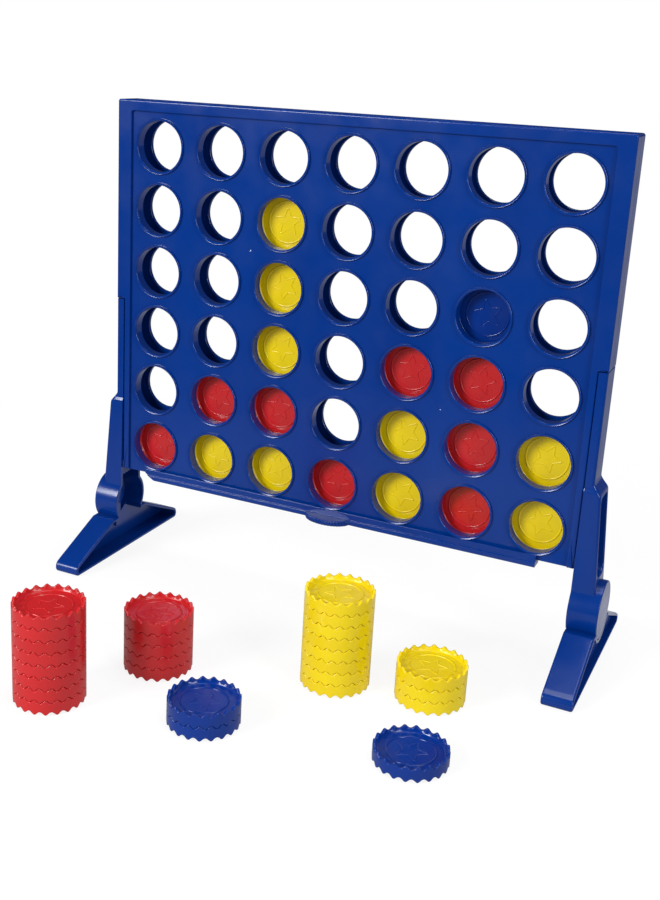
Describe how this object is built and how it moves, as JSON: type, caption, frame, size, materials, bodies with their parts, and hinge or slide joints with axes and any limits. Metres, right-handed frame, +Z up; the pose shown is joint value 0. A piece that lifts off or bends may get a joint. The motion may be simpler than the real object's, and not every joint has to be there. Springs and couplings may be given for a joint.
{
  "type": "four in a row game",
  "caption": "Upright hollow grid on swivelling feet, with a release slider below and round discs in its columns and in loose stacks.",
  "frame": {"origin": "on the table, under the middle of the box round the grid and its loose stacks", "axes": "+X to the right of the players in front, +Y to the rear, +Z up"},
  "size_m": [0.275, 0.219, 0.244],
  "materials": {
    "grid_blue_plastic": "injection-moulded, semi-gloss",
    "red_plastic": "injection-moulded, semi-gloss",
    "yellow_plastic": "injection-moulded, semi-gloss",
    "blue_disc_plastic": "injection-moulded, semi-gloss"
  },
  "bodies": {
    "grid": {"front_panel": "grid_blue_plastic", "rear_panel": "grid_blue_plastic"},
    "release_slider": {"release_slider": "grid_blue_plastic"},
    "left_leg": {"left_leg": "grid_blue_plastic"},
    "right_leg": {"right_leg": "grid_blue_plastic"},
    "left_foot": {"left_foot": "grid_blue_plastic"},
    "right_foot": {"right_foot": "grid_blue_plastic"},
    "red_disc_column_1_row_6": {"red_disc_column_1_row_6": "red_plastic"},
    "yellow_disc_column_2_row_6": {"yellow_disc_column_2_row_6": "yellow_plastic"},
    "red_disc_column_2_row_5": {"red_disc_column_2_row_5": "red_plastic"},
    "yellow_disc_column_3_row_6": {"yellow_disc_column_3_row_6": "yellow_plastic"},
    "red_disc_column_3_row_5": {"red_disc_column_3_row_5": "red_plastic"},
    "yellow_disc_column_3_row_4": {"yellow_disc_column_3_row_4": "yellow_plastic"},
    "yellow_disc_column_3_row_3": {"yellow_disc_column_3_row_3": "yellow_plastic"},
    "yellow_disc_column_3_row_2": {"yellow_disc_column_3_row_2": "yellow_plastic"},
    "red_disc_column_4_row_6": {"red_disc_column_4_row_6": "red_plastic"},
    "yellow_disc_column_5_row_6": {"yellow_disc_column_5_row_6": "yellow_plastic"},
    "yellow_disc_column_5_row_5": {"yellow_disc_column_5_row_5": "yellow_plastic"},
    "red_disc_column_5_row_4": {"red_disc_column_5_row_4": "red_plastic"},
    "red_disc_column_6_row_6": {"red_disc_column_6_row_6": "red_plastic"},
    "red_disc_column_6_row_5": {"red_disc_column_6_row_5": "red_plastic"},
    "red_disc_column_6_row_4": {"red_disc_column_6_row_4": "red_plastic"},
    "blue_disc_column_6_row_3": {"blue_disc_column_6_row_3": "blue_disc_plastic"},
    "yellow_disc_column_7_row_6": {"yellow_disc_column_7_row_6": "yellow_plastic"},
    "yellow_disc_column_7_row_5": {"yellow_disc_column_7_row_5": "yellow_plastic"},
    "red_stack_a_disc_1": {"red_stack_a_disc_1": "red_plastic"},
    "red_stack_a_disc_2": {"red_stack_a_disc_2": "red_plastic"},
    "red_stack_a_disc_3": {"red_stack_a_disc_3": "red_plastic"},
    "red_stack_a_disc_4": {"red_stack_a_disc_4": "red_plastic"},
    "red_stack_a_disc_5": {"red_stack_a_disc_5": "red_plastic"},
    "red_stack_a_disc_6": {"red_stack_a_disc_6": "red_plastic"},
    "red_stack_a_disc_7": {"red_stack_a_disc_7": "red_plastic"},
    "red_stack_a_disc_8": {"red_stack_a_disc_8": "red_plastic"},
    "red_stack_b_disc_1": {"red_stack_b_disc_1": "red_plastic"},
    "red_stack_b_disc_2": {"red_stack_b_disc_2": "red_plastic"},
    "red_stack_b_disc_3": {"red_stack_b_disc_3": "red_plastic"},
    "red_stack_b_disc_4": {"red_stack_b_disc_4": "red_plastic"},
    "red_stack_b_disc_5": {"red_stack_b_disc_5": "red_plastic"},
    "yellow_stack_a_disc_1": {"yellow_stack_a_disc_1": "yellow_plastic"},
    "yellow_stack_a_disc_2": {"yellow_stack_a_disc_2": "yellow_plastic"},
    "yellow_stack_a_disc_3": {"yellow_stack_a_disc_3": "yellow_plastic"},
    "yellow_stack_a_disc_4": {"yellow_stack_a_disc_4": "yellow_plastic"},
    "yellow_stack_a_disc_5": {"yellow_stack_a_disc_5": "yellow_plastic"},
    "yellow_stack_a_disc_6": {"yellow_stack_a_disc_6": "yellow_plastic"},
    "yellow_stack_a_disc_7": {"yellow_stack_a_disc_7": "yellow_plastic"},
    "yellow_stack_a_disc_8": {"yellow_stack_a_disc_8": "yellow_plastic"},
    "yellow_stack_b_disc_1": {"yellow_stack_b_disc_1": "yellow_plastic"},
    "yellow_stack_b_disc_2": {"yellow_stack_b_disc_2": "yellow_plastic"},
    "yellow_stack_b_disc_3": {"yellow_stack_b_disc_3": "yellow_plastic"},
    "blue_stack_disc_1": {"blue_stack_disc_1": "blue_disc_plastic"},
    "blue_stack_disc_2": {"blue_stack_disc_2": "blue_disc_plastic"},
    "blue_single_disc_1": {"blue_single_disc_1": "blue_disc_plastic"}
  },
  "joints": [
    {"name": "release_slide", "type": "slide", "parent": "grid", "child": "release_slider", "axis": [1, 0, 0], "range_m": [0, 0.0168]},
    {"name": "left_foot_swivel", "type": "hinge", "parent": "left_leg", "child": "left_foot", "pos_m": [-0.13, 0.059, 0.0283], "axis": [1, 0, 0], "range_deg": [-45, 45]},
    {"name": "right_foot_swivel", "type": "hinge", "parent": "right_leg", "child": "right_foot", "pos_m": [0.13, 0.059, 0.0283], "axis": [1, 0, 0], "range_deg": [-45, 45]},
    {"name": "left_leg_pull", "type": "slide", "parent": "grid", "child": "left_leg", "axis": [-1, 0, 0], "range_m": [0, 0.03]},
    {"name": "right_leg_pull", "type": "slide", "parent": "grid", "child": "right_leg", "axis": [1, 0, 0], "range_m": [0, 0.03]},
    {"name": "column_1_row_6_lift", "type": "slide", "parent": "grid", "child": "red_disc_column_1_row_6", "axis": [0, 0, 1], "range_m": [0, 0.1971]},
    {"name": "column_2_row_6_lift", "type": "slide", "parent": "grid", "child": "yellow_disc_column_2_row_6", "axis": [0, 0, 1], "range_m": [0, 0.0315]},
    {"name": "column_2_row_5_lift", "type": "slide", "parent": "yellow_disc_column_2_row_6", "child": "red_disc_column_2_row_5", "axis": [0, 0, 1], "range_m": [0, 0.1656]},
    {"name": "column_3_row_6_lift", "type": "slide", "parent": "grid", "child": "yellow_disc_column_3_row_6", "axis": [0, 0, 1], "range_m": [0, 0.0315]},
    {"name": "column_3_row_5_lift", "type": "slide", "parent": "yellow_disc_column_3_row_6", "child": "red_disc_column_3_row_5", "axis": [0, 0, 1], "range_m": [0, 0.0315]},
    {"name": "column_3_row_4_lift", "type": "slide", "parent": "red_disc_column_3_row_5", "child": "yellow_disc_column_3_row_4", "axis": [0, 0, 1], "range_m": [0, 0.0315]},
    {"name": "column_3_row_3_lift", "type": "slide", "parent": "yellow_disc_column_3_row_4", "child": "yellow_disc_column_3_row_3", "axis": [0, 0, 1], "range_m": [0, 0.0315]},
    {"name": "column_3_row_2_lift", "type": "slide", "parent": "yellow_disc_column_3_row_3", "child": "yellow_disc_column_3_row_2", "axis": [0, 0, 1], "range_m": [0, 0.0711]},
    {"name": "column_4_row_6_lift", "type": "slide", "parent": "grid", "child": "red_disc_column_4_row_6", "axis": [0, 0, 1], "range_m": [0, 0.1971]},
    {"name": "column_5_row_6_lift", "type": "slide", "parent": "grid", "child": "yellow_disc_column_5_row_6", "axis": [0, 0, 1], "range_m": [0, 0.0315]},
    {"name": "column_5_row_5_lift", "type": "slide", "parent": "yellow_disc_column_5_row_6", "child": "yellow_disc_column_5_row_5", "axis": [0, 0, 1], "range_m": [0, 0.0315]},
    {"name": "column_5_row_4_lift", "type": "slide", "parent": "yellow_disc_column_5_row_5", "child": "red_disc_column_5_row_4", "axis": [0, 0, 1], "range_m": [0, 0.1341]},
    {"name": "column_6_row_6_lift", "type": "slide", "parent": "grid", "child": "red_disc_column_6_row_6", "axis": [0, 0, 1], "range_m": [0, 0.0315]},
    {"name": "column_6_row_5_lift", "type": "slide", "parent": "red_disc_column_6_row_6", "child": "red_disc_column_6_row_5", "axis": [0, 0, 1], "range_m": [0, 0.0315]},
    {"name": "column_6_row_4_lift", "type": "slide", "parent": "red_disc_column_6_row_5", "child": "red_disc_column_6_row_4", "axis": [0, 0, 1], "range_m": [0, 0.0315]},
    {"name": "column_6_row_3_lift", "type": "slide", "parent": "red_disc_column_6_row_4", "child": "blue_disc_column_6_row_3", "axis": [0, 0, 1], "range_m": [0, 0.1026]},
    {"name": "column_7_row_6_lift", "type": "slide", "parent": "grid", "child": "yellow_disc_column_7_row_6", "axis": [0, 0, 1], "range_m": [0, 0.0315]},
    {"name": "column_7_row_5_lift", "type": "slide", "parent": "yellow_disc_column_7_row_6", "child": "yellow_disc_column_7_row_5", "axis": [0, 0, 1], "range_m": [0, 0.1656]},
    {"name": "red_stack_a_lift_1", "type": "slide", "parent": "grid", "child": "red_stack_a_disc_1", "axis": [0, 0, 1], "range_m": [0, 0.025]},
    {"name": "red_stack_a_lift_2", "type": "slide", "parent": "red_stack_a_disc_1", "child": "red_stack_a_disc_2", "axis": [0, 0, 1], "range_m": [0, 0.025]},
    {"name": "red_stack_a_lift_3", "type": "slide", "parent": "red_stack_a_disc_2", "child": "red_stack_a_disc_3", "axis": [0, 0, 1], "range_m": [0, 0.025]},
    {"name": "red_stack_a_lift_4", "type": "slide", "parent": "red_stack_a_disc_3", "child": "red_stack_a_disc_4", "axis": [0, 0, 1], "range_m": [0, 0.025]},
    {"name": "red_stack_a_lift_5", "type": "slide", "parent": "red_stack_a_disc_4", "child": "red_stack_a_disc_5", "axis": [0, 0, 1], "range_m": [0, 0.025]},
    {"name": "red_stack_a_lift_6", "type": "slide", "parent": "red_stack_a_disc_5", "child": "red_stack_a_disc_6", "axis": [0, 0, 1], "range_m": [0, 0.025]},
    {"name": "red_stack_a_lift_7", "type": "slide", "parent": "red_stack_a_disc_6", "child": "red_stack_a_disc_7", "axis": [0, 0, 1], "range_m": [0, 0.025]},
    {"name": "red_stack_a_lift_8", "type": "slide", "parent": "red_stack_a_disc_7", "child": "red_stack_a_disc_8", "axis": [0, 0, 1], "range_m": [0, 0.025]},
    {"name": "red_stack_b_lift_1", "type": "slide", "parent": "grid", "child": "red_stack_b_disc_1", "axis": [0, 0, 1], "range_m": [0, 0.025]},
    {"name": "red_stack_b_lift_2", "type": "slide", "parent": "red_stack_b_disc_1", "child": "red_stack_b_disc_2", "axis": [0, 0, 1], "range_m": [0, 0.025]},
    {"name": "red_stack_b_lift_3", "type": "slide", "parent": "red_stack_b_disc_2", "child": "red_stack_b_disc_3", "axis": [0, 0, 1], "range_m": [0, 0.025]},
    {"name": "red_stack_b_lift_4", "type": "slide", "parent": "red_stack_b_disc_3", "child": "red_stack_b_disc_4", "axis": [0, 0, 1], "range_m": [0, 0.025]},
    {"name": "red_stack_b_lift_5", "type": "slide", "parent": "red_stack_b_disc_4", "child": "red_stack_b_disc_5", "axis": [0, 0, 1], "range_m": [0, 0.025]},
    {"name": "yellow_stack_a_lift_1", "type": "slide", "parent": "grid", "child": "yellow_stack_a_disc_1", "axis": [0, 0, 1], "range_m": [0, 0.025]},
    {"name": "yellow_stack_a_lift_2", "type": "slide", "parent": "yellow_stack_a_disc_1", "child": "yellow_stack_a_disc_2", "axis": [0, 0, 1], "range_m": [0, 0.025]},
    {"name": "yellow_stack_a_lift_3", "type": "slide", "parent": "yellow_stack_a_disc_2", "child": "yellow_stack_a_disc_3", "axis": [0, 0, 1], "range_m": [0, 0.025]},
    {"name": "yellow_stack_a_lift_4", "type": "slide", "parent": "yellow_stack_a_disc_3", "child": "yellow_stack_a_disc_4", "axis": [0, 0, 1], "range_m": [0, 0.025]},
    {"name": "yellow_stack_a_lift_5", "type": "slide", "parent": "yellow_stack_a_disc_4", "child": "yellow_stack_a_disc_5", "axis": [0, 0, 1], "range_m": [0, 0.025]},
    {"name": "yellow_stack_a_lift_6", "type": "slide", "parent": "yellow_stack_a_disc_5", "child": "yellow_stack_a_disc_6", "axis": [0, 0, 1], "range_m": [0, 0.025]},
    {"name": "yellow_stack_a_lift_7", "type": "slide", "parent": "yellow_stack_a_disc_6", "child": "yellow_stack_a_disc_7", "axis": [0, 0, 1], "range_m": [0, 0.025]},
    {"name": "yellow_stack_a_lift_8", "type": "slide", "parent": "yellow_stack_a_disc_7", "child": "yellow_stack_a_disc_8", "axis": [0, 0, 1], "range_m": [0, 0.025]},
    {"name": "yellow_stack_b_lift_1", "type": "slide", "parent": "grid", "child": "yellow_stack_b_disc_1", "axis": [0, 0, 1], "range_m": [0, 0.025]},
    {"name": "yellow_stack_b_lift_2", "type": "slide", "parent": "yellow_stack_b_disc_1", "child": "yellow_stack_b_disc_2", "axis": [0, 0, 1], "range_m": [0, 0.025]},
    {"name": "yellow_stack_b_lift_3", "type": "slide", "parent": "yellow_stack_b_disc_2", "child": "yellow_stack_b_disc_3", "axis": [0, 0, 1], "range_m": [0, 0.025]},
    {"name": "blue_stack_lift_1", "type": "slide", "parent": "grid", "child": "blue_stack_disc_1", "axis": [0, 0, 1], "range_m": [0, 0.025]},
    {"name": "blue_stack_lift_2", "type": "slide", "parent": "blue_stack_disc_1", "child": "blue_stack_disc_2", "axis": [0, 0, 1], "range_m": [0, 0.025]},
    {"name": "blue_single_lift_1", "type": "slide", "parent": "grid", "child": "blue_single_disc_1", "axis": [0, 0, 1], "range_m": [0, 0.025]}
  ]
}
